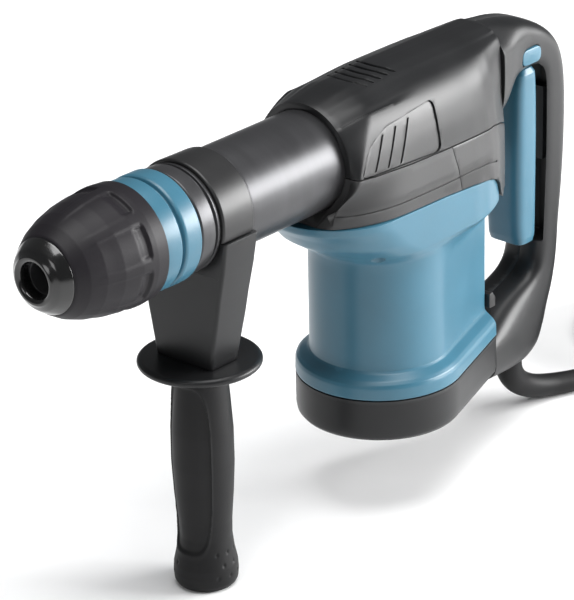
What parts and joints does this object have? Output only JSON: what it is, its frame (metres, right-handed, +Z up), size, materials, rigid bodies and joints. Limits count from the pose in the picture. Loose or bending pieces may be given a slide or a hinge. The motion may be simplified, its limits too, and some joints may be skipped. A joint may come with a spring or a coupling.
{
  "type": "electric demolition hammer",
  "caption": "Hand-held electric jackhammer: hammer barrel with round-shank chuck, upright motor, D-handle with lever trigger and a clamp-on side grip.",
  "frame": {"origin": "on the barrel axis, where it crosses the upper end of the rear grip, between thumb and forefinger", "axes": "+X forward along the barrel to the tool socket, +Y to the user's left, +Z up towards the crown"},
  "size_m": [0.6549, 0.1526, 0.2691],
  "materials": {
    "blue_plastic": "steel-blue glass-filled nylon, fine moulded grain",
    "black_plastic": "charcoal glass-filled nylon, fine moulded grain, satin",
    "grey_plastic": "dark grey satin nylon",
    "black_rubber": "matt black grip rubber",
    "cover_rubber": "matt violet-black moulded rubber",
    "gloss_rubber": "smooth glossy black rubber",
    "dark_steel": "dark phosphated steel, turned",
    "steel": "ground steel",
    "cast_alloy": "die-cast aluminium",
    "bronze": "sintered bronze",
    "copper": "enamelled copper",
    "brass": "pressed brass",
    "carbon": "pressed carbon",
    "fan_plastic": "natural nylon",
    "board": "potted circuit board",
    "dial_orange": "orange-red knurled plastic",
    "cord_rubber": "matt black cord sheath",
    "plated": "bright nickel plate"
  },
  "bodies": {
    "body": {"barrel": "dark_steel", "barrel_collar": "dark_steel", "front_bearing": "bronze", "crank_housing": "cast_alloy", "crank_cap": "cast_alloy", "top_cover": "black_plastic", "left_side_cover": "grey_plastic", "right_side_cover": "grey_plastic", "front_band": "grey_plastic", "rear_band": "grey_plastic", "motor_housing": "blue_plastic", "base_cap": "black_plastic", "base_screws": "steel", "housing_screws": "steel", "handle_left": "black_plastic", "handle_right": "black_plastic", "handle_screws": "steel", "cylinder": "steel", "crank_bearings": "steel", "stator": "dark_steel", "stator_windings": "copper", "motor_bearings": "steel", "brush_holders": "brass", "carbon_brushes": "carbon", "speed_controller": "board", "switch_unit": "black_plastic", "cord_clamp": "black_plastic", "cord_guard": "black_rubber", "power_cord": "cord_rubber", "cord_coil": "cord_rubber", "cable_tie": "black_plastic", "plug": "black_rubber", "plug_pins": "plated"},
    "tool_holder": {"tool_holder": "dark_steel", "locking_segments": "steel", "nose_cap": "gloss_rubber", "sleeve_spring": "steel"},
    "release_cover": {"release_cover": "cover_rubber", "locking_sleeve": "dark_steel"},
    "change_ring": {"change_ring": "blue_plastic"},
    "impact_bolt": {"impact_bolt": "steel"},
    "striker": {"striker": "steel", "striker_ring": "black_rubber"},
    "piston": {"piston": "steel", "piston_pin": "steel", "connecting_rod": "cast_alloy", "crank_pin": "steel"},
    "crank": {"crank_shaft": "steel", "crank_gear": "dark_steel"},
    "armature": {"armature": "steel", "commutator": "copper", "fan": "fan_plastic"},
    "side_handle": {"clamp_strap": "black_plastic", "handle_bracket": "black_plastic", "clamp_bolt": "steel"},
    "side_grip": {"grip_core": "black_plastic", "grip_sleeve": "black_rubber"},
    "trigger": {"trigger": "blue_plastic"},
    "lock_button": {"lock_button": "blue_plastic"},
    "speed_dial": {"speed_dial": "dial_orange"}
  },
  "joints": [
    {"name": "holder_turn", "type": "hinge", "parent": "body", "child": "tool_holder", "pos_m": [0.36, 0, 0], "axis": [1, 0, 0], "continuous": true},
    {"name": "release_slide", "type": "slide", "parent": "tool_holder", "child": "release_cover", "axis": [-1, 0, 0], "range_m": [0, 0.008], "stiffness_N_per_m": 1500, "springref_m": -0.008, "deforming": ["sleeve_spring"]},
    {"name": "change_ring_slide", "type": "slide", "parent": "tool_holder", "child": "change_ring", "axis": [1, 0, 0], "range_m": [0, 0.005], "stiffness_N_per_m": 1200, "springref_m": -0.005},
    {"name": "impact_bolt_slide", "type": "slide", "parent": "body", "child": "impact_bolt", "axis": [1, 0, 0], "range_m": [0, 0.008]},
    {"name": "piston_slide", "type": "slide", "parent": "body", "child": "piston", "axis": [1, 0, 0], "range_m": [0, 0.026]},
    {"name": "striker_slide", "type": "slide", "parent": "body", "child": "striker", "axis": [1, 0, 0], "range_m": [0, 0.026]},
    {"name": "crank_spin", "type": "hinge", "parent": "body", "child": "crank", "pos_m": [0.1182, 0, -0.02], "axis": [0, 0, 1], "continuous": true},
    {"name": "armature_spin", "type": "hinge", "parent": "body", "child": "armature", "pos_m": [0.15, 0, -0.1], "axis": [0, 0, 1], "continuous": true},
    {"name": "side_handle_swing", "type": "hinge", "parent": "body", "child": "side_handle", "pos_m": [0.306, 0, 0], "axis": [1, 0, 0], "continuous": true},
    {"name": "side_grip_turn", "type": "hinge", "parent": "side_handle", "child": "side_grip", "pos_m": [0.306, 0, -0.16], "axis": [0, 0, 1], "range_deg": [-360, 90]},
    {"name": "trigger_squeeze", "type": "hinge", "parent": "body", "child": "trigger", "pos_m": [0.02, 0, -0.002], "axis": [0, 1, 0], "range_deg": [0, 4.5], "stiffness_Nm_per_rad": 6, "springref_deg": -4.58},
    {"name": "lock_button_press", "type": "slide", "parent": "body", "child": "lock_button", "axis": [0, -1, 0], "range_m": [0, 0.003], "stiffness_N_per_m": 600, "springref_m": -0.003},
    {"name": "speed_dial_turn", "type": "hinge", "parent": "body", "child": "speed_dial", "pos_m": [0.0798, 0.0126, -0.116], "axis": [0, 1, 0], "range_deg": [-135, 135]}
  ],
  "couplings": [
    {"joint": "armature_spin", "follows": "crank_spin", "ratio": -4.8889},
    {"joint": "striker_slide", "follows": "piston_slide", "ratio": 1}
  ]
}
